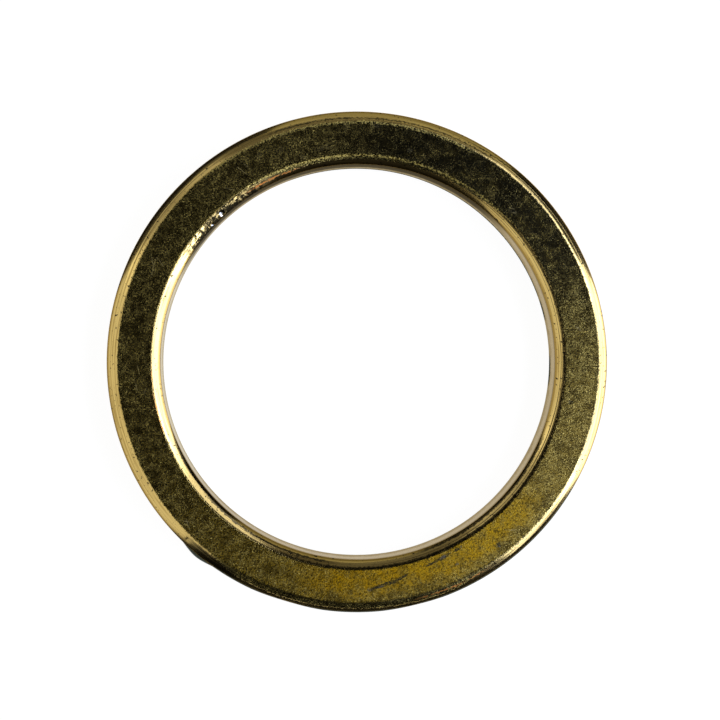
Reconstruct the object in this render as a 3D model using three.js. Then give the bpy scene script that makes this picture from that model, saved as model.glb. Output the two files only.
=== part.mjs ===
// Flat brass washer: one blanked ring, lying on its lower face.
// Millimetres, +Z up. The origin is on the axis, in the plane of the lower face.
import * as THREE from "three";

// Driving dimensions.
const OUTER_DIAMETER = 38;
const BORE_DIAMETER = 30;
const THICKNESS = 3;

// Each upper edge is a crowned bevel, an arc that starts at a shallow slope beside the upper face
// and gets steeper until it meets the rim or the bore. The slopes are degrees from the face.
const OUTER_BEVEL_WIDTH = 0.65;
const INNER_BEVEL_WIDTH = 0.72;
const BEVEL_FIRST_SLOPE = 18;
const BEVEL_LAST_SLOPE = 39;

// The lower edges are sheared, so they are almost sharp.
const EDGE_BREAK = 0.12;

// Facets around the ring, and across each bevel.
const RING_FACETS = 120;
const BEVEL_FACETS = 4;

const OUTER_RADIUS = OUTER_DIAMETER / 2;
const BORE_RADIUS = BORE_DIAMETER / 2;

// The crown of a bevel as offsets from the edge of the upper face: how far across and how far down.
function bevelOffsets(width) {
  const first = THREE.MathUtils.degToRad(BEVEL_FIRST_SLOPE);
  const last = THREE.MathUtils.degToRad(BEVEL_LAST_SLOPE);
  const arcRadius = width / (Math.sin(last) - Math.sin(first));
  const offsets = [];
  for (let i = 0; i <= BEVEL_FACETS; i++) {
    const slope = THREE.MathUtils.lerp(first, last, i / BEVEL_FACETS);
    offsets.push({
      across: arcRadius * (Math.sin(slope) - Math.sin(first)),
      down: arcRadius * (Math.cos(first) - Math.cos(slope)),
    });
  }
  return offsets;
}

// The section of the ring, as radius and height. It runs out along the lower face, up the rim,
// in across the upper face and down the bore, and closes on itself.
function ringSection() {
  const outerFaceEdge = OUTER_RADIUS - OUTER_BEVEL_WIDTH;
  const innerFaceEdge = BORE_RADIUS + INNER_BEVEL_WIDTH;
  const outerBevel = bevelOffsets(OUTER_BEVEL_WIDTH).map(
    ({ across, down }) => new THREE.Vector2(outerFaceEdge + across, THICKNESS - down),
  );
  const innerBevel = bevelOffsets(INNER_BEVEL_WIDTH).map(
    ({ across, down }) => new THREE.Vector2(innerFaceEdge - across, THICKNESS - down),
  );
  return [
    new THREE.Vector2(BORE_RADIUS + EDGE_BREAK, 0),
    new THREE.Vector2(OUTER_RADIUS - EDGE_BREAK, 0),
    new THREE.Vector2(OUTER_RADIUS, EDGE_BREAK),
    ...outerBevel.reverse(),
    ...innerBevel,
    new THREE.Vector2(BORE_RADIUS, EDGE_BREAK),
    new THREE.Vector2(BORE_RADIUS + EDGE_BREAK, 0),
  ];
}

function agedBrass() {
  return new THREE.MeshStandardMaterial({
    name: "aged_brass",
    color: 0x8c7434,
    roughness: 0.35,
    metalness: 1,
  });
}

function flatWasher() {
  const geometry = new THREE.LatheGeometry(ringSection(), RING_FACETS);
  // LatheGeometry turns its section about Y, and the washer's axis is Z.
  geometry.rotateX(Math.PI / 2);
  const mesh = new THREE.Mesh(geometry, agedBrass());
  mesh.name = "flat_washer";
  return mesh;
}

const washer = new THREE.Group();
washer.add(flatWasher());

export default washer;
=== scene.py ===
import math

import bpy
import numpy as np
from mathutils import Matrix, Vector


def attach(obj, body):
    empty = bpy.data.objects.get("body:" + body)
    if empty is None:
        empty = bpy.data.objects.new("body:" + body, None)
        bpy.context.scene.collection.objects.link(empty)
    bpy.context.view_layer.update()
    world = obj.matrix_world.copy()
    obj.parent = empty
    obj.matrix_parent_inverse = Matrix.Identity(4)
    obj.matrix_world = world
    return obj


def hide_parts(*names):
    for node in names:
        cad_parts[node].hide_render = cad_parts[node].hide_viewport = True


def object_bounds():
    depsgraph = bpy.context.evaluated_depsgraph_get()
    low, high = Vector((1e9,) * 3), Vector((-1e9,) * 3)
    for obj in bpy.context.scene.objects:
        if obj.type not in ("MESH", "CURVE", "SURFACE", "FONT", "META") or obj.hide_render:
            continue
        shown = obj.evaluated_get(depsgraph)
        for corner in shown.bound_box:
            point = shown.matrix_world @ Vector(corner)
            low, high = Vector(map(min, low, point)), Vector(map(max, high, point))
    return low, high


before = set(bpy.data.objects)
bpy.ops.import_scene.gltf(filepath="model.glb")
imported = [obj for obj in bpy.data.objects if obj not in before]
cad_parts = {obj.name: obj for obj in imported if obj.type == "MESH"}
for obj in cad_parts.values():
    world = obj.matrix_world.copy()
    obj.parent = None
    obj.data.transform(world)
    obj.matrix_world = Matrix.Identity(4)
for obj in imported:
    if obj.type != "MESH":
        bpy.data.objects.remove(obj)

# A flat brass washer, seen from almost straight above on a white, lit table.
# Lengths are millimetres until they are handed to Blender, which works in metres.
# Places on the ring are given as an angle in degrees, from +X towards +Y, and a radius.
MM = 0.001

cad_low, cad_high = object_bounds()
cad_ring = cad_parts["flat_washer"]

# ---------------------------------------------------------------- the washer's sizes
THICKNESS = cad_high.z / MM
OUTER_RADIUS = cad_high.x / MM
BORE_RADIUS = min(math.hypot(v.co.x, v.co.y) for v in cad_ring.data.vertices) / MM
MID_RADIUS = (OUTER_RADIUS + BORE_RADIUS) / 2
HALF_WIDTH = (OUTER_RADIUS - BORE_RADIUS) / 2

# Each upper edge is a crowned bevel. Its slopes, in degrees, are given at shares of its width from
# the edge of the upper face. A fine groove runs near its middle.
OUTER_BEVEL_WIDTH = 0.70
INNER_BEVEL_WIDTH = 0.74
BEVEL_SLOPES = [(0.0, 4), (0.09, 20), (0.48, 25), (0.76, 31), (0.92, 36), (1.0, 39)]
GROOVE_PLACE = 0.43
GROOVE_HALF_WIDTH = 0.07
GROOVE_SLOPE = 5
# The bevels are uneven. Towards this angle the outer one gets wider and the inner one narrower.
BEVEL_RUNOUT_ANGLE = 170
BEVEL_RUNOUT = 0.14
INNER_NARROWING = 0.09
RIM_BLEND_RADIUS = 0.04
LOWER_EDGE_RADIUS = 0.18

# How finely the ring is cut, around and along its section.
RING_STEPS = 900
FACE_STEPS = 19
BEVEL_STEPS = 14
BEVEL_FINE_STEPS = 300
WALL_STEPS = 9
LOWER_FACE_STEPS = 6

# ---------------------------------------------------------------- damage and stains
# Dents move the metal itself: angle, radius, height, then reach around, across and up, and then
# how far the metal moves outwards and downwards.
DENTS = [
    (132.8, 15.28, 2.78, 0.22, 0.22, 0.40, 0.12, 0.10),
    (136.9, 15.20, 2.70, 0.20, 0.16, 0.40, 0.08, 0.07),
    (129.4, 15.52, 2.85, 0.22, 0.10, 0.30, 0.02, 0.04),
    (127.6, 15.60, 2.90, 0.16, 0.08, 0.30, 0.02, 0.03),
    (126.3, 15.50, 2.85, 0.24, 0.09, 0.30, 0.02, 0.04),
    (124.1, 15.55, 2.85, 0.18, 0.08, 0.30, 0.02, 0.03),
    (121.9, 15.62, 2.90, 0.26, 0.07, 0.30, 0.01, 0.03),
    (139.0, 15.45, 2.80, 0.20, 0.12, 0.30, 0.03, 0.04),
    (141.2, 15.50, 2.85, 0.26, 0.09, 0.30, 0.02, 0.04),
    (143.4, 15.40, 2.80, 0.18, 0.10, 0.30, 0.02, 0.03),
    (145.6, 15.50, 2.85, 0.24, 0.10, 0.30, 0.02, 0.04),
    (148.3, 15.55, 2.85, 0.18, 0.08, 0.30, 0.01, 0.03),
    (206.0, 15.74, 3.00, 0.14, 0.16, 0.30, 0.00, 0.04),
    (203.1, 15.74, 3.00, 0.16, 0.14, 0.30, 0.00, 0.03),
    (349.4, 16.38, 3.00, 0.12, 0.24, 0.30, 0.00, 0.05),
    (226.0, 18.60, 2.90, 0.24, 0.26, 0.40, 0.00, 0.02),
    (230.0, 19.00, 2.20, 2.10, 0.60, 0.60, 0.27, 0.00),
    (253.0, 19.00, 2.00, 3.20, 0.60, 4.00, -0.07, 0.00),
    (283.0, 19.00, 2.00, 3.00, 0.60, 4.00, -0.04, 0.00),
]

# Marks on the upper face: angle, radius, half length, half width, and the turn of the long side
# from the circumference.
DARK_SMEARS = [
    (276.4, 16.98, 1.30, 0.15, 12),
    (281.0, 16.66, 0.60, 0.13, 14),
    (289.6, 16.26, 0.50, 0.10, 6),
    (293.0, 16.13, 0.75, 0.15, 6),
    (297.4, 16.03, 0.30, 0.10, 0),
    (307.3, 17.50, 0.16, 0.22, 0),
    (349.4, 16.40, 0.09, 0.22, 8),
    (206.0, 15.76, 0.09, 0.16, 0),
    (203.1, 15.74, 0.11, 0.13, 0),
]
GREY_SPOTS = [
    (272.5, 17.26, 0.17, 0.14, 0),
    (275.6, 17.10, 0.20, 0.09, 12),
    (293.3, 16.10, 0.26, 0.11, 5),
    (295.9, 17.05, 0.13, 0.10, 0),
    (298.9, 15.98, 0.10, 0.10, 0),
    (307.2, 17.62, 0.10, 0.07, 0),
]
# Pale blotches on the upper face, and two painted glints.
PALE_BLOTCHES_AND_GLINTS = [
    (76.6, 16.48, 0.24, 0.20, 0),
    (105.5, 16.02, 0.34, 0.20, 0),
    (110.4, 17.08, 0.40, 0.26, 20),
    (116.0, 17.25, 0.30, 0.22, 40),
    (99.5, 16.38, 0.80, 0.26, 6),
    (86.0, 17.95, 0.40, 0.30, 0),
    (93.2, 17.90, 0.24, 0.40, 0),
    (44.5, 16.40, 0.40, 0.22, 10),
    # Painted glints: small painted highlights.
    (263.5, 17.60, 0.09, 0.08, 0),
    (287.3, 16.36, 0.10, 0.07, 0),
]
PALE_SCRATCHES = [
    (154.2, 17.25, 0.75, 0.03, 35),
    (155.4, 17.00, 0.85, 0.03, 10),
    (153.3, 16.75, 0.60, 0.03, 62),
    (182.0, 16.60, 0.45, 0.03, 12),
    (186.1, 16.85, 0.60, 0.03, 8),
    (187.4, 16.20, 0.35, 0.03, -30),
    (222.6, 17.70, 0.65, 0.03, 40),
    (223.4, 17.75, 0.55, 0.03, -25),
    (120.2, 17.20, 0.70, 0.03, -68),
    (121.6, 16.95, 0.60, 0.03, -70),
    (127.0, 16.30, 0.45, 0.03, -50),
    (8.7, 16.90, 0.30, 0.05, 50),
    (312.0, 17.20, 0.50, 0.03, -40),
]
SILVER_NICKS = [(133.0, 15.25, 0.16, 0.15, 0), (137.0, 15.12, 0.08, 0.06, 0)]

# Lines that follow the ring, stains and painted reflections: from one angle to another, at a radius,
# with a half width.
# Dark lines where the upper face rolls into the bevels: grime, and a painted dark reflection of the
# rolled edge.
GRIME_AND_REFLECTION_LINES = [
    (246.0, 335.0, 15.64, 0.12),
    (330.0, 382.0, 15.74, 0.07),
    (236.0, 304.0, 18.24, 0.10),
    (298.0, 372.0, 18.29, 0.05),
]
# Dark lines on the bevels: painted dark reflections of the gaps between the lamps.
DARK_REFLECTION_LINES = [
    (288.0, 338.0, 15.16, 0.07),
    (206.0, 232.0, 15.14, 0.07),
    (222.0, 262.0, 15.27, 0.06),
    (40.0, 62.0, 18.70, 0.04),
    (56.0, 112.0, 18.47, 0.05),
    (227.0, 240.0, 18.62, 0.30),
]
RUST_LINES = [
    (284.0, 301.0, 18.50, 0.05),
    (107.0, 122.0, 15.32, 0.05),
    (182.0, 200.0, 15.62, 0.03),
]
# Bright specks along the edges of the face: rubbed metal, and a painted highlight where the edge
# meets the bevel.
RUBBED_AND_HIGHLIGHT_LINES = [(46.0, 124.0, 15.64, 0.07), (62.0, 130.0, 18.14, 0.10)]
# Where the nicked part of the inner bevel is dirty, and the clean dashes left in it.
DIRTY_NICKS = [(117.0, 147.0, 15.26, 0.42)]
CLEAN_DASHES = [(120.0, 129.0, 15.46, 0.06), (138.5, 150.0, 15.42, 0.14)]
# Green tarnish and a painted shadow at the foot of the bore, where it meets the table: angles, and
# how high it climbs.
GREEN_AND_SHADOW_FEET = [
    (353.8, 361.2, 0.85),
    (13.3, 18.3, 0.80),
    (20.0, 110.0, 0.60),
]

# Stretches of the ring: from one angle to another, and the degrees over which both ends fade.
BLUE_STAIN = (20, 88, 16)
# The lower right of the face is painted a brighter gold: a painted reflection of warm light.
GOLDEN_SHEEN_ARC = (258, 320, 9)
WORN_FACE_EDGES = (22, 148, 10)
WORN_OUTER_BEVEL = (236, 298, 6)
WORN_INNER_BEVEL = (50, 114, 8)
BROWN_INNER_BEVEL = (206, 264, 10)
SCUFFED_INNER_BEVEL = (119, 150, 3)
DARK_BORE = (46, 150, 9)
# The left of the bore, which faces the key light, is painted brighter: a painted sheen.
SHEEN_LIT_BORE = (138, 214, 14)
GREEN_BURR = (226, 234, 3)
GREEN_RIM = (234, 330, 3)
# How much of each bevel's width has worn until it looks like the face.
OUTER_WEAR = 0.42
INNER_WEAR = 0.30

# Noise scales, in waves per millimetre, and how far the outlines of stains are made ragged.
GRAIN_SCALE = 7.0
FINE_SCALE = 10.0
MOTTLE_SCALE = 1.1
RAGGED_SCALE = 5.0
RAGGED_REACH = 0.26
RELIEF_DEPTH = 0.014

# ---------------------------------------------------------------- the studio's sizes
CAMERA_EYE = (-4.82, 0.307, 103.0)
CAMERA_TARGET = (0.07, 0.148, 2.6)
CAMERA_LENS = 66.22
CAMERA_SENSOR = 36.0
FLOOR_HALF_SIDE = 1500
FLOOR_GLOW = 0.955
ROOM_DARKNESS = 0.012
SOFTBOX_DISTANCE = 300
COOL_WHITE = (0.72, 0.80, 1.0)
WARM_WHITE = (1.0, 1.0, 0.87)
# Softboxes: name, azimuth, angle from the zenith, half width and half height as shares of the
# distance, radiance and colour.
SOFTBOXES = [
    ("key_right", -5, 61, (0.44, 0.56), 3.4, COOL_WHITE),
    ("key_upper", 34, 45, (0.27, 0.17), 2.4, COOL_WHITE),
    ("key_lower", -38, 48, (0.19, 0.30), 2.6, COOL_WHITE),
    ("fill_left", 193, 58, (0.60, 0.50), 0.72, WARM_WHITE),
    ("glow_left", 141, 44, (0.26, 0.19), 0.36, WARM_WHITE),
    ("glow_far", 92, 46, (0.60, 0.22), 0.12, (1.0, 1.0, 0.85)),
    ("glow_near", -92, 29, (0.55, 0.05), 0.10, (1.0, 1.0, 0.6)),
    ("far_side", 78, 72, (0.50, 0.36), 0.30, (1.0, 1.0, 0.7)),
    ("overhead_gold", -76, 17, (0.12, 0.09), 0.50, (1.0, 0.84, 0.16)),
    ("overhead_white", -31, 18, (0.12, 0.10), 0.56, (1.0, 0.96, 0.70)),
]


# ---------------------------------------------------------------- the ring's shape
def bevel_slope(share):
    """The slope of the bevel, in degrees, at a share of its width from the edge of the upper face."""
    places, slopes = zip(*BEVEL_SLOPES)
    slope = np.interp(share, places, slopes)
    in_groove = (share - GROOVE_PLACE) / GROOVE_HALF_WIDTH
    if abs(in_groove) < 1:
        slope -= GROOVE_SLOPE * math.sin(math.pi * in_groove)
    return slope


def bevel_points(width):
    """The bevel as (across, down) from the edge of the upper face."""
    kept = {round(x) for x in np.linspace(0, BEVEL_FINE_STEPS, BEVEL_STEPS)}
    groove = [GROOVE_PLACE + k * GROOVE_HALF_WIDTH for k in (-1, -0.5, 0, 0.5, 1)]
    kept |= {round(share * BEVEL_FINE_STEPS) for share in groove}
    down = 0.0
    points = []
    for i in range(1, BEVEL_FINE_STEPS + 1):
        slope = bevel_slope((i - 0.5) / BEVEL_FINE_STEPS)
        down += width / BEVEL_FINE_STEPS * math.tan(math.radians(slope))
        if i in kept:
            points.append((width * i / BEVEL_FINE_STEPS, down))
    return points


def quarter_round(radius, first_slope, steps):
    """An arc that curves from first_slope down to the vertical, as (across, down) from its start."""
    first = math.radians(first_slope)
    points = []
    for i in range(1, steps + 1):
        slope = first + (math.pi / 2 - first) * i / steps
        across = radius * (math.sin(slope) - math.sin(first))
        down = radius * (math.cos(first) - math.cos(slope))
        points.append((across, down))
    return points


def half_section(bevel_width):
    """Half of the section, from the middle of the upper face round to the middle of the lower face.

    Each point is (across, height): its distance from the mid radius, and its height."""
    bevel = bevel_points(bevel_width)
    rim = quarter_round(RIM_BLEND_RADIUS, BEVEL_SLOPES[-1][1], 2)
    face_half = HALF_WIDTH - bevel[-1][0] - rim[-1][0]
    points = [(across, THICKNESS) for across in np.linspace(0, face_half, FACE_STEPS)]
    for run in (bevel, rim):
        start_across, start_height = points[-1]
        points += [(start_across + across, start_height - down) for across, down in run]
    wall_top = points[-1][1]
    points += [(HALF_WIDTH, h) for h in np.linspace(wall_top, LOWER_EDGE_RADIUS, WALL_STEPS)[1:]]
    for turn in (30, 60, 90):
        inward = LOWER_EDGE_RADIUS * (1 - math.cos(math.radians(turn)))
        height = LOWER_EDGE_RADIUS * (1 - math.sin(math.radians(turn)))
        points.append((HALF_WIDTH - inward, height))
    points += [(across, 0.0) for across in np.linspace(points[-1][0], 0, LOWER_FACE_STEPS)[1:]]
    return points


def closed_section():
    """The whole section as arrays of radius and height, without repeating its first point."""
    outer = [(MID_RADIUS + across, height) for across, height in half_section(OUTER_BEVEL_WIDTH)]
    inner = [(MID_RADIUS - across, height) for across, height in half_section(INNER_BEVEL_WIDTH)]
    loop = outer + inner[::-1][1:-1]
    return np.array(loop)


def dent(angle, radius, height):
    """The radius and height of every point, after all dents and burrs. Angles are degrees."""
    outwards = np.zeros_like(radius)
    downwards = np.zeros_like(radius)
    for at, at_radius, at_height, reach_around, reach_across, reach_up, push_out, push_down in DENTS:
        around = np.radians((angle - at + 180) % 360 - 180) * at_radius
        distance = np.sqrt((around / reach_around) ** 2 + ((radius - at_radius) / reach_across) ** 2
                           + ((height - at_height) / reach_up) ** 2)
        weight = np.clip(1 - distance, 0, 1)
        weight = weight * weight * (3 - 2 * weight)
        outwards += weight * push_out
        downwards += weight * push_down
    return radius + outwards, height - downwards


def run_out(angle, radius, height):
    """The radius of every point, once the uneven bevels have moved both edges of the face inwards."""
    towards_widest = (1 + np.cos(np.radians(angle - BEVEL_RUNOUT_ANGLE))) / 2
    inner_edge = BORE_RADIUS + INNER_BEVEL_WIDTH
    outer_edge = OUTER_RADIUS - OUTER_BEVEL_WIDTH
    places = [BORE_RADIUS, inner_edge, MID_RADIUS, outer_edge, OUTER_RADIUS]
    moves = [0, INNER_NARROWING, 0, BEVEL_RUNOUT, 0]
    moved = radius - towards_widest * np.interp(radius, places, moves)
    return np.where(height > THICKNESS / 2, moved, radius)


def washer_mesh():
    section = closed_section()
    angles = np.arange(RING_STEPS) * (360 / RING_STEPS)
    radius = np.tile(section[:, 0], (RING_STEPS, 1))
    height = np.tile(section[:, 1], (RING_STEPS, 1))
    angle = np.repeat(angles[:, None], len(section), axis=1)
    radius = run_out(angle, radius, height)
    radius, height = dent(angle, radius, height)
    angle = np.radians(angle)
    points = np.stack([radius * np.cos(angle), radius * np.sin(angle), height], axis=-1) * MM
    count = len(section)
    ring = np.arange(RING_STEPS)[:, None] * count
    next_ring = np.roll(ring, -1, axis=0)
    here = np.arange(count)[None, :]
    there = np.roll(here, -1, axis=1)
    quads = np.stack([ring + here, next_ring + here, next_ring + there, ring + there], axis=-1)
    mesh = bpy.data.meshes.new("flat_washer_fine")
    mesh.from_pydata(points.reshape(-1, 3).tolist(), [], quads.reshape(-1, 4).tolist())
    mesh.validate()
    mesh.shade_smooth()
    return mesh


# ---------------------------------------------------------------- material building
class NodeTree:
    """Short calls for wiring one shader tree."""

    def __init__(self, tree):
        self.tree = tree
        tree.nodes.clear()

    def node(self, kind, **settings):
        made = self.tree.nodes.new(kind)
        for name, value in settings.items():
            setattr(made, name, value)
        return made

    def feed(self, socket, value):
        if isinstance(value, bpy.types.NodeSocket):
            self.tree.links.new(value, socket)
        else:
            socket.default_value = value

    def math(self, operation, *values):
        made = self.node("ShaderNodeMath", operation=operation)
        for socket, value in zip(made.inputs, values):
            self.feed(socket, value)
        return made.outputs[0]

    def times(self, product, *others):
        """The product of values."""
        for other in others:
            product = self.math("MULTIPLY", product, other)
        return product

    def most(self, greatest, *others):
        """The greatest of values."""
        for other in others:
            greatest = self.math("MAXIMUM", greatest, other)
        return greatest

    def step(self, value, low, high, out_low=0.0, out_high=1.0):
        """A smooth step of value: out_low at low, out_high at high."""
        made = self.node("ShaderNodeMapRange", interpolation_type="SMOOTHSTEP")
        for name, x in (("Value", value), ("From Min", low), ("From Max", high)):
            self.feed(made.inputs[name], x)
        self.feed(made.inputs["To Min"], out_low)
        self.feed(made.inputs["To Max"], out_high)
        return made.outputs[0]

    def blend(self, factor, first, second):
        made = self.node("ShaderNodeMix", data_type="FLOAT")
        self.feed(made.inputs[0], factor)
        self.feed(made.inputs[2], first)
        self.feed(made.inputs[3], second)
        return made.outputs[0]

    def blend_colour(self, factor, first, second):
        made = self.node("ShaderNodeMix", data_type="RGBA")
        self.feed(made.inputs[0], factor)
        self.feed(made.inputs[6], first)
        self.feed(made.inputs[7], second)
        return made.outputs[2]

    def blend_looks(self, factor, first, second):
        """Blend two colours, or two values."""
        blend = self.blend_colour if first.type == "RGBA" else self.blend
        return blend(factor, first, second)

    def noise_node(self, vector, scale, detail, roughness):
        made = self.node("ShaderNodeTexNoise")
        self.feed(made.inputs["Vector"], vector)
        self.feed(made.inputs["Scale"], scale)
        self.feed(made.inputs["Detail"], detail)
        self.feed(made.inputs["Roughness"], roughness)
        return made

    def noise(self, vector, scale, detail=2.0, roughness=0.5):
        return self.noise_node(vector, scale, detail, roughness).outputs["Fac"]

    def noise_vector(self, vector, scale):
        return self.noise_node(vector, scale, 2.0, 0.5).outputs["Color"]

    def centred(self, value):
        """A noise is about 0.5 on the average, and this moves it to zero."""
        return self.math("SUBTRACT", value, 0.5)

    def vector(self, operation, *values):
        made = self.node("ShaderNodeVectorMath", operation=operation)
        for socket, value in zip(made.inputs, values):
            self.feed(socket, value)
        gives_number = operation in ("LENGTH", "DOT_PRODUCT")
        return made.outputs["Value" if gives_number else "Vector"]

    def combine(self, *values):
        made = self.node("ShaderNodeCombineXYZ")
        for socket, value in zip(made.inputs, values):
            self.feed(socket, value)
        return made.outputs[0]

    def split(self, vector):
        made = self.node("ShaderNodeSeparateXYZ")
        self.feed(made.inputs[0], vector)
        return made.outputs


def spots(t, flat, rows):
    """A mask of ellipses that lie on the upper face, each given as one row of a list of marks."""
    mask = 0.0
    for angle, radius, half_length, half_width, turn in rows:
        local = t.node("ShaderNodeMapping", vector_type="TEXTURE")
        t.feed(local.inputs["Vector"], flat)
        at = math.radians(angle)
        local.inputs["Location"].default_value = (radius * math.cos(at), radius * math.sin(at), 0)
        local.inputs["Rotation"].default_value = (0, 0, math.radians(angle + 90 + turn))
        local.inputs["Scale"].default_value = (half_length, half_width, 1)
        distance = t.vector("LENGTH", local.outputs[0])
        mask = t.most(mask, t.step(distance, 1.15, 0.75))
    return mask


def arc(t, around, first_angle, last_angle, widest_fade=3.0):
    """A mask of the directions between two angles. Its ends fade over a few degrees."""
    if last_angle < first_angle:
        last_angle += 360
    middle, half = math.radians((first_angle + last_angle) / 2), (last_angle - first_angle) / 2
    towards = t.vector("DOT_PRODUCT", around, (math.cos(middle), math.sin(middle), 0))
    fade = min(half / 2, widest_fade)
    return t.step(towards, math.cos(math.radians(half + fade)), math.cos(math.radians(half - fade)))


def band(t, value, middle, half_width):
    """A soft mask of value near middle."""
    away = t.math("ABSOLUTE", t.math("SUBTRACT", value, middle))
    return t.step(away, half_width * 1.3, half_width * 0.7)


def rings(t, radius, around, rows):
    """A mask of lines that follow the ring: each row has two angles, a radius and a half width."""
    mask = 0.0
    for first, last, at_radius, half_width in rows:
        place = t.times(band(t, radius, at_radius, half_width), arc(t, around, first, last))
        mask = t.most(mask, place)
    return mask


POLISHED = (0.84, 0.61, 0.235, 1.0)
BROWNED = (0.38, 0.24, 0.06, 1.0)
DULL = (0.53, 0.41, 0.125, 1.0)
TARNISH = (0.115, 0.085, 0.03, 1.0)
BLUE_BLACK = (0.055, 0.057, 0.047, 1.0)
# The gold of the painted sheen on the lower right of the face.
SHEEN_GOLD = (0.76, 0.50, 0.035, 1.0)
FLECKS = (0.96, 0.76, 0.24, 1.0)
# Grime, and the painted shade of dark reflections on the edges and bevels.
GRIME_AND_SHADE = (0.035, 0.03, 0.02, 1.0)
BLACK_DIRT = (0.022, 0.017, 0.008, 1.0)
SMEARED = (0.045, 0.04, 0.025, 1.0)
SILVER = (0.88, 0.89, 0.92, 1.0)
SLATE = (0.22, 0.20, 0.165, 1.0)
CREAM = (0.78, 0.68, 0.42, 1.0)
RUST = (0.80, 0.30, 0.07, 1.0)
DARK_GREEN = (0.03, 0.045, 0.03, 1.0)
BORE_WALL = (0.42, 0.32, 0.14, 1.0)
# The painted sheen of the bore wall where it faces the key light.
PAINTED_SHEEN_WALL = (0.70, 0.62, 0.42, 1.0)
OUTER_WALL = (0.58, 0.405, 0.13, 1.0)
BROWN_WALL = (0.20, 0.13, 0.03, 1.0)
DARK_BROWN = (0.05, 0.038, 0.018, 1.0)
EDGE_TINT = (0.79, 0.735, 0.64, 1.0)


class Places:
    """Where a shaded point is on the washer, in millimetres, and the noises its looks share."""

    def __init__(self, t):
        coordinates = t.node("ShaderNodeTexCoord").outputs["Object"]
        self.point = t.vector("MULTIPLY", coordinates, (1 / MM, 1 / MM, 1 / MM))
        x, y, self.height = t.split(self.point)
        self.flat = t.combine(x, y, 0.0)
        self.radius = t.vector("LENGTH", self.flat)
        self.around = t.vector("NORMALIZE", self.flat)
        self.outside = t.math("GREATER_THAN", self.radius, MID_RADIUS)
        self.inside = t.math("SUBTRACT", 1.0, self.outside)
        self.across = t.math("ABSOLUTE", t.math("SUBTRACT", self.radius, MID_RADIUS))
        self.grain = t.noise(self.point, GRAIN_SCALE, 2, 0.55)
        self.fine = t.noise(self.point, FINE_SCALE, 2, 0.6)
        self.mottle = t.noise(self.point, MOTTLE_SCALE, 4, 0.7)
        ragged = t.vector("SUBTRACT", t.noise_vector(self.point, RAGGED_SCALE), (0.5, 0.5, 0.5))
        self.shift = t.vector("MULTIPLY", ragged, (RAGGED_REACH, RAGGED_REACH, 0))
        self.ragged_flat = t.vector("ADD", self.flat, self.shift)
        self.ragged_radius = t.vector("LENGTH", self.ragged_flat)


def face_mask(t, at):
    """White on the upper face, with a ragged border where it meets the bevels."""
    turn = math.radians(BEVEL_RUNOUT_ANGLE)
    towards_widest = t.vector("DOT_PRODUCT", at.around, (math.cos(turn), math.sin(turn), 0))
    half = BEVEL_RUNOUT / 2
    outer_width = t.math("MULTIPLY_ADD", towards_widest, half, OUTER_BEVEL_WIDTH + half)
    half = INNER_NARROWING / 2
    inner_width = t.math("MULTIPLY_ADD", towards_widest, -half, INNER_BEVEL_WIDTH - half)
    outer_wear = t.times(arc(t, at.around, *WORN_OUTER_BEVEL), OUTER_WEAR)
    inner_wear = t.times(arc(t, at.around, *WORN_INNER_BEVEL), INNER_WEAR)
    outer_width = t.math("SUBTRACT", outer_width, outer_wear)
    inner_width = t.math("SUBTRACT", inner_width, inner_wear)
    bevel_width = t.blend(at.outside, inner_width, outer_width)
    wobble = t.times(t.centred(t.noise(at.point, 2.2, 3)), 0.12)
    teeth = t.times(t.centred(t.noise(at.point, GRAIN_SCALE, 2)), 0.20)
    from_rim = t.math("SUBTRACT", HALF_WIDTH, at.across)
    into_face = t.math("SUBTRACT", from_rim, bevel_width)
    into_face = t.math("ADD", into_face, t.math("ADD", wobble, teeth))
    upper = t.step(at.height, THICKNESS - 0.5, THICKNESS - 0.3)
    return t.times(t.step(into_face, -0.04, 0.03), upper)


def below_bevel(t, at):
    """How far a point of a wall is below the bevel above it."""
    drops = [bevel_points(width)[-1][1] for width in (INNER_BEVEL_WIDTH, OUTER_BEVEL_WIDTH)]
    return t.math("SUBTRACT", t.math("SUBTRACT", THICKNESS, t.blend(at.outside, *drops)), at.height)


def painted_golden_sheen(t, at):
    """A painted golden sheen on the lower right of the face, a painted reflection of warm light, thin
    and patchy towards its border.
    """
    sheen_edge = t.math("MULTIPLY_ADD", t.centred(at.mottle), 2.4, at.radius)
    sheen = t.times(arc(t, at.around, *GOLDEN_SHEEN_ARC), t.step(sheen_edge, 18.1, 17.0))
    return t.times(sheen, t.step(t.noise(at.point, 1.5, 4, 0.7), 0.30, 0.66, 0.25, 1.0))


def worm_scratches(t, at):
    """Fine bright scratches: thin bands where a noise passes its middle, broken into dashes."""
    line = t.step(t.math("ABSOLUTE", t.centred(at.grain)), 0.070, 0.020)
    dashes = t.step(t.noise(at.point, 7.0, 2, 0.6), 0.46, 0.56)
    dots = t.step(at.fine, 0.575, 0.65)
    worm = t.most(t.times(line, dashes), dots)
    sparse = t.step(t.noise(at.point, 1.6, 3, 0.7), 0.36, 0.62, 0.40, 1.0)
    uneven_across = t.math("ADD", at.across, t.times(t.centred(at.mottle), 2.0))
    worn_edges = t.step(uneven_across, 0.5, 1.5, 0.15, 1.0)
    worn_edges = t.times(arc(t, at.around, *WORN_FACE_EDGES), worn_edges)
    return t.times(worm, t.most(sparse, worn_edges))


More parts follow.
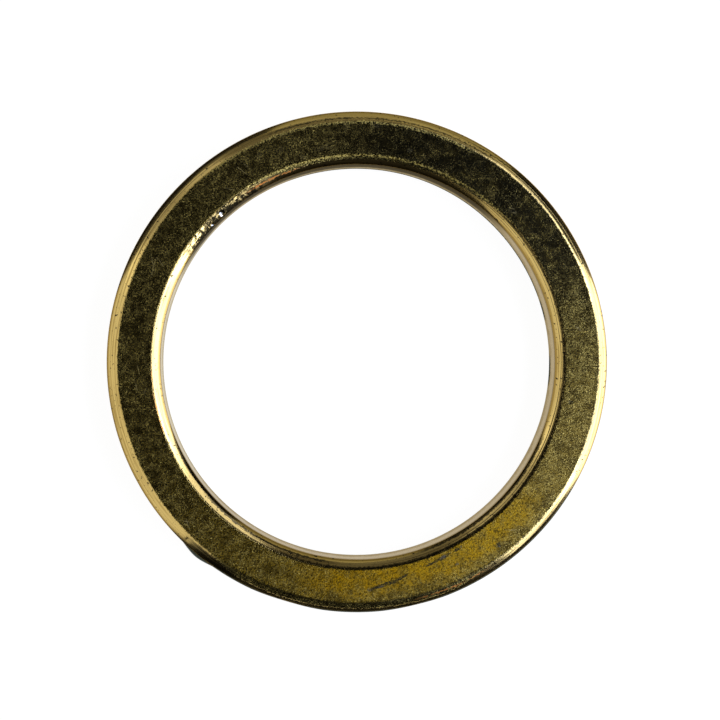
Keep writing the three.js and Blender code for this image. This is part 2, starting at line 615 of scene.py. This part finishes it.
def face_look(t, at):
    """The colour, roughness and relief of the upper face."""
    blue_stain = t.step(at.mottle, 0.36, 0.52, 0.45, 0.95)
    blue_stain = t.times(arc(t, at.around, *BLUE_STAIN), blue_stain)
    sheen = painted_golden_sheen(t, at)
    worm = t.times(worm_scratches(t, at), t.math("MULTIPLY_ADD", blue_stain, -0.5, 1.0))
    specks = t.times(t.step(t.noise(at.point, 7.5, 2, 0.6), 0.48, 0.38), 0.8)
    speckle = t.step(t.math("ADD", at.grain, at.fine), 0.92, 1.16)
    smear = t.times(spots(t, at.ragged_flat, DARK_SMEARS), t.step(at.grain, 0.34, 0.54, 0.45, 1.0))
    grey = t.times(spots(t, at.ragged_flat, GREY_SPOTS), t.step(at.fine, 0.38, 0.56, 0.1, 0.75))
    pale_and_glints = t.times(spots(t, at.ragged_flat, PALE_BLOTCHES_AND_GLINTS), speckle)
    waved = t.vector("ADD", at.flat, t.vector("MULTIPLY", at.shift, (0.35, 0.35, 0)))
    scratch = t.times(spots(t, waved, PALE_SCRATCHES), t.step(at.grain, 0.38, 0.55, 0.2, 0.8))

    colour = t.blend_colour(t.step(at.mottle, 0.40, 0.64, 0.0, 0.8), DULL, TARNISH)
    colour = t.blend_colour(blue_stain, colour, BLUE_BLACK)
    colour = t.blend_colour(t.times(worm, 0.95), colour, FLECKS)
    # Painted golden sheen: a painted reflection of warm light on the lower right of the face.
    colour = t.blend_colour(sheen, colour, SHEEN_GOLD)
    colour = t.blend_colour(specks, colour, TARNISH)
    colour = t.blend_colour(smear, colour, SMEARED)
    colour = t.blend_colour(grey, colour, SLATE)
    # Pale blotches with painted glints, and pale scratches, in cream.
    colour = t.blend_colour(t.most(t.times(pale_and_glints, 0.16), t.times(scratch, 0.4)), colour, CREAM)
    dull = t.most(worm, t.times(pale_and_glints, 0.5), scratch, smear, grey)
    rough = t.blend(dull, 0.17, 0.54)
    relief = t.math("MULTIPLY_ADD", at.fine, 0.5, at.grain)
    relief = t.times(relief, t.blend(sheen, 1.0, 0.6))
    return colour, rough, relief


def bevel_look(t, at):
    """The colour, roughness and relief of the bevels, which carry fine streaks along the ring."""
    along = t.vector("MULTIPLY", at.around, (4.0, 4.0, 0.0))
    across = t.combine(t.times(at.radius, 10.0), 0.0, t.times(at.height, 3.0))
    streak = t.noise(t.vector("ADD", along, across), 1.0, 3, 0.6)
    pits = t.step(t.noise(at.point, 5.0, 2, 0.5), 0.645, 0.70)
    browned = t.step(streak, 0.44, 0.70, 0.0, 0.75)
    near_rim = t.step(at.across, HALF_WIDTH - 0.22, HALF_WIDTH - 0.08, 0.0, 0.9)
    browned = t.most(browned, near_rim)
    brown_stretch = t.times(arc(t, at.around, *BROWN_INNER_BEVEL), at.inside, 0.65)
    browned = t.most(browned, brown_stretch)
    dirt = rings(t, at.ragged_radius, at.around, DIRTY_NICKS)
    dirt = t.times(dirt, t.step(t.noise(at.point, 3.2, 3, 0.6), 0.38, 0.50, 0.35, 1.0))
    dashes = rings(t, at.ragged_radius, at.around, CLEAN_DASHES)
    dashes = t.times(dashes, t.step(t.noise(at.point, 2.6, 2), 0.42, 0.52))
    dirt = t.times(dirt, t.math("SUBTRACT", 1.0, dashes))

    colour = t.blend_colour(browned, POLISHED, BROWNED)
    colour = t.blend_colour(pits, colour, GRIME_AND_SHADE)
    colour = t.blend_colour(dirt, colour, BLACK_DIRT)
    colour = t.blend_colour(spots(t, at.ragged_flat, SILVER_NICKS), colour, SILVER)
    rough = t.blend(dirt, t.step(streak, 0.35, 0.75, 0.10, 0.24), 0.35)
    scuffed = t.times(arc(t, at.around, *SCUFFED_INNER_BEVEL), at.inside)
    relief = t.times(scuffed, at.grain, 0.9)
    relief = t.math("MULTIPLY_ADD", streak, 0.15, relief)
    return colour, rough, relief


def wall_look(t, at, depth):
    """The colour, roughness and relief of the walls: brighter above, torn and duller below, with a
    painted sheen on the left of the bore and a painted shadow at its foot.
    """
    along = t.vector("MULTIPLY", at.around, (150.0, 150.0, 0.0))
    drag = t.noise(t.vector("ADD", along, t.combine(0.0, 0.0, at.height)), 1.0, 3, 0.6)
    uneven_depth = t.math("MULTIPLY_ADD", t.centred(drag), 0.5, depth)
    uneven_height = t.math("MULTIPLY_ADD", t.centred(at.fine), 1.1, at.height)
    torn = t.step(t.math("MULTIPLY_ADD", t.centred(at.mottle), 2.4, uneven_height), 1.5, 0.6)
    foot = 0.0
    for first, last, top in GREEN_AND_SHADOW_FEET:
        climb = t.step(uneven_height, top, top - 0.25)
        foot = t.most(foot, t.times(arc(t, at.around, first, last), climb))
    browned = t.step(uneven_depth, 0.45, 0.30)
    dark_arc = t.step(uneven_depth, 1.90, 1.20, 0.0, 0.9)
    dark_arc = t.times(arc(t, at.around, *DARK_BORE), dark_arc, at.inside)

    # A painted sheen on the left of the bore, where it faces the key light.
    bright = t.times(arc(t, at.around, *SHEEN_LIT_BORE), at.inside)
    colour = t.blend_colour(at.outside, BORE_WALL, OUTER_WALL)
    colour = t.blend_colour(bright, colour, PAINTED_SHEEN_WALL)
    colour = t.blend_colour(t.step(drag, 0.40, 0.80, 0.0, 0.30), colour, BROWN_WALL)
    colour = t.blend_colour(t.times(torn, 0.35), colour, BROWN_WALL)
    colour = t.blend_colour(browned, colour, BROWN_WALL)
    colour = t.blend_colour(dark_arc, colour, DARK_BROWN)
    # Green tarnish, and a painted shadow where the foot of the bore meets the table.
    green_and_shadow_foot = t.times(foot, at.inside)
    colour = t.blend_colour(green_and_shadow_foot, colour, DARK_GREEN)
    dark = t.most(dark_arc, green_and_shadow_foot)
    rough = t.blend(dark, t.blend(torn, 0.24, 0.42), 0.85)
    relief = t.blend(torn, t.times(drag, 0.5), t.times(at.grain, 1.2))
    return colour, rough, relief


def add_stains_and_painted_light(t, at, upper, colour, rough):
    """Grime, rubbed edges, rust and green tarnish, with painted dark reflections and painted
    highlights along the edges, over the colour and roughness of the metal.
    """
    unevenness = t.centred(t.noise(at.point, 6.0, 2))
    torn_radius = t.math("MULTIPLY_ADD", unevenness, 0.35, at.ragged_radius)
    # Grime and painted dark reflection along the edges of the upper face.
    edge_grime_and_shade = rings(t, torn_radius, at.around, GRIME_AND_REFLECTION_LINES)
    edge_grime_and_shade = t.times(edge_grime_and_shade, t.step(at.fine, 0.36, 0.56, 0.25, 0.85))
    # Painted dark reflections of the gaps between the lamps, joined below with the grime and painted
    # shade of the face edges.
    lines = t.times(rings(t, at.ragged_radius, at.around, DARK_REFLECTION_LINES), 0.85)
    dark = t.times(t.most(edge_grime_and_shade, lines), upper)
    # Rubbed specks along the face edges, partly a painted highlight.
    rubbed = rings(t, torn_radius, at.around, RUBBED_AND_HIGHLIGHT_LINES)
    rubbed = t.times(rubbed, t.step(at.grain, 0.44, 0.56), upper, 0.8)
    rust = rings(t, at.ragged_radius, at.around, RUST_LINES)
    rust = t.times(rust, t.step(t.noise(at.point, 3.0, 2), 0.36, 0.55, 0.15, 0.9), upper)
    burr_height = t.math("MULTIPLY_ADD", t.centred(at.mottle), 1.2, at.height)
    burr = t.times(arc(t, at.around, *GREEN_BURR), t.step(burr_height, 1.6, 2.2))
    burr = t.times(burr, t.step(at.radius, OUTER_RADIUS - 0.04, OUTER_RADIUS))
    green_rim = t.times(arc(t, at.around, *GREEN_RIM), band(t, at.radius, OUTER_RADIUS, 0.09), upper)
    green = t.most(burr, green_rim)

    # Rubbed metal and painted highlight along the face edges.
    colour = t.blend_colour(rubbed, colour, FLECKS)
    # Grime, and painted dark reflections and shade.
    colour = t.blend_colour(dark, colour, GRIME_AND_SHADE)
    colour = t.blend_colour(rust, colour, RUST)
    colour = t.blend_colour(green, colour, DARK_GREEN)
    rough = t.blend(rubbed, rough, 0.5)
    rough = t.blend(rust, rough, 0.42)
    rough = t.blend(green, rough, 0.8)
    return colour, rough, t.math("SUBTRACT", 1.0, green)


def aged_brass():
    material = bpy.data.materials.new("aged_brass")
    material.use_nodes = True
    t = NodeTree(material.node_tree)
    at = Places(t)
    face = face_mask(t, at)
    depth = below_bevel(t, at)
    wall = t.step(depth, 0.0, 0.03)
    upper = t.math("SUBTRACT", 1.0, wall)

    looks = [
        t.blend_looks(face, bevel, flat)
        for bevel, flat in zip(bevel_look(t, at), face_look(t, at))
    ]
    looks = [t.blend_looks(wall, top, side) for top, side in zip(looks, wall_look(t, at, depth))]
    colour, rough, relief = looks

    colour, rough, metallic = add_stains_and_painted_light(t, at, upper, colour, rough)

    bump = t.node("ShaderNodeBump")
    bump.inputs["Strength"].default_value = 1.0
    bump.inputs["Distance"].default_value = RELIEF_DEPTH * MM
    t.feed(bump.inputs["Height"], relief)
    shader = t.node("ShaderNodeBsdfPrincipled")
    shader.inputs["Specular Tint"].default_value = EDGE_TINT
    t.feed(shader.inputs["Metallic"], metallic)
    t.feed(shader.inputs["Base Color"], colour)
    t.feed(shader.inputs["Roughness"], rough)
    t.feed(shader.inputs["Normal"], bump.outputs[0])
    out = t.node("ShaderNodeOutputMaterial")
    t.feed(out.inputs["Surface"], shader.outputs[0])
    return material


def lit_table():
    """White, and lit from inside, so that the washer throws only a faint shadow on it."""
    material = bpy.data.materials.new("lit_table")
    material.use_nodes = True
    t = NodeTree(material.node_tree)
    shader = t.node("ShaderNodeBsdfPrincipled")
    shader.inputs["Base Color"].default_value = (0.12, 0.12, 0.12, 1.0)
    shader.inputs["Roughness"].default_value = 0.9
    shader.inputs["Emission Color"].default_value = (1.0, 1.0, 1.0, 1.0)
    shader.inputs["Emission Strength"].default_value = FLOOR_GLOW
    out = t.node("ShaderNodeOutputMaterial")
    t.feed(out.inputs["Surface"], shader.outputs[0])
    return material


# ---------------------------------------------------------------- the studio
def add_camera():
    """Almost straight above the washer, and a little to its left."""
    data = bpy.data.cameras.new("camera")
    camera = bpy.data.objects.new("camera", data)
    bpy.context.scene.collection.objects.link(camera)
    data.sensor_width = CAMERA_SENSOR
    data.lens = CAMERA_LENS
    data.clip_start = 0.001
    eye = Vector(CAMERA_EYE) * MM
    target = Vector(CAMERA_TARGET) * MM
    back = (eye - target).normalized()
    right = Vector((0, 1, 0)).cross(back).normalized()
    up = back.cross(right)
    turn = Matrix((right, up, back)).transposed()
    camera.matrix_world = Matrix.Translation(eye) @ turn.to_4x4()
    bpy.context.scene.camera = camera


def add_softbox(name, azimuth, zenith, half_size, radiance, colour):
    """A rectangular lamp that faces the washer, at an azimuth and an angle from the zenith.

    Its radiance is what a mirror would show."""
    width, height = (2 * half * SOFTBOX_DISTANCE for half in half_size)
    data = bpy.data.lights.new(name, "AREA")
    data.shape = "RECTANGLE"
    data.size, data.size_y = width * MM, height * MM
    data.energy = radiance * math.pi * data.size * data.size_y
    data.color = colour
    lamp = bpy.data.objects.new(name, data)
    bpy.context.scene.collection.objects.link(lamp)
    turn, tilt = math.radians(azimuth), math.radians(zenith)
    away = Vector((math.sin(tilt) * math.cos(turn), math.sin(tilt) * math.sin(turn), math.cos(tilt)))
    lamp.location = away * SOFTBOX_DISTANCE * MM
    lamp.rotation_euler = away.to_track_quat("Z", "Y").to_euler()
    lamp.visible_camera = False


def add_world():
    world = bpy.data.worlds.new("studio")
    bpy.context.scene.world = world
    world.use_nodes = True
    t = NodeTree(world.node_tree)
    seen = t.node("ShaderNodeBackground")
    seen.inputs["Color"].default_value = (1.0, 1.0, 1.0, 1.0)
    room = t.node("ShaderNodeBackground")
    room.inputs["Color"].default_value = (ROOM_DARKNESS, ROOM_DARKNESS, ROOM_DARKNESS, 1.0)
    pick = t.node("ShaderNodeMixShader")
    t.feed(pick.inputs[0], t.node("ShaderNodeLightPath").outputs["Is Camera Ray"])
    t.feed(pick.inputs[1], room.outputs[0])
    t.feed(pick.inputs[2], seen.outputs[0])
    out = t.node("ShaderNodeOutputWorld")
    t.feed(out.inputs["Surface"], pick.outputs[0])


def add_floor():
    mesh = bpy.data.meshes.new("floor")
    side = FLOOR_HALF_SIDE * MM
    corners = [(-side, -side, 0), (side, -side, 0), (side, side, 0), (-side, side, 0)]
    mesh.from_pydata(corners, [], [(0, 1, 2, 3)])
    mesh.materials.append(lit_table())
    floor = bpy.data.objects.new("floor", mesh)
    bpy.context.scene.collection.objects.link(floor)


def add_washer():
    mesh = washer_mesh()
    mesh.materials.append(aged_brass())
    washer = bpy.data.objects.new("flat_washer_fine", mesh)
    bpy.context.scene.collection.objects.link(washer)
    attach(washer, "root")
    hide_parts("flat_washer")


bpy.context.scene.view_settings.view_transform = "Standard"
add_camera()
add_world()
for softbox in SOFTBOXES:
    add_softbox(*softbox)
add_floor()
add_washer()
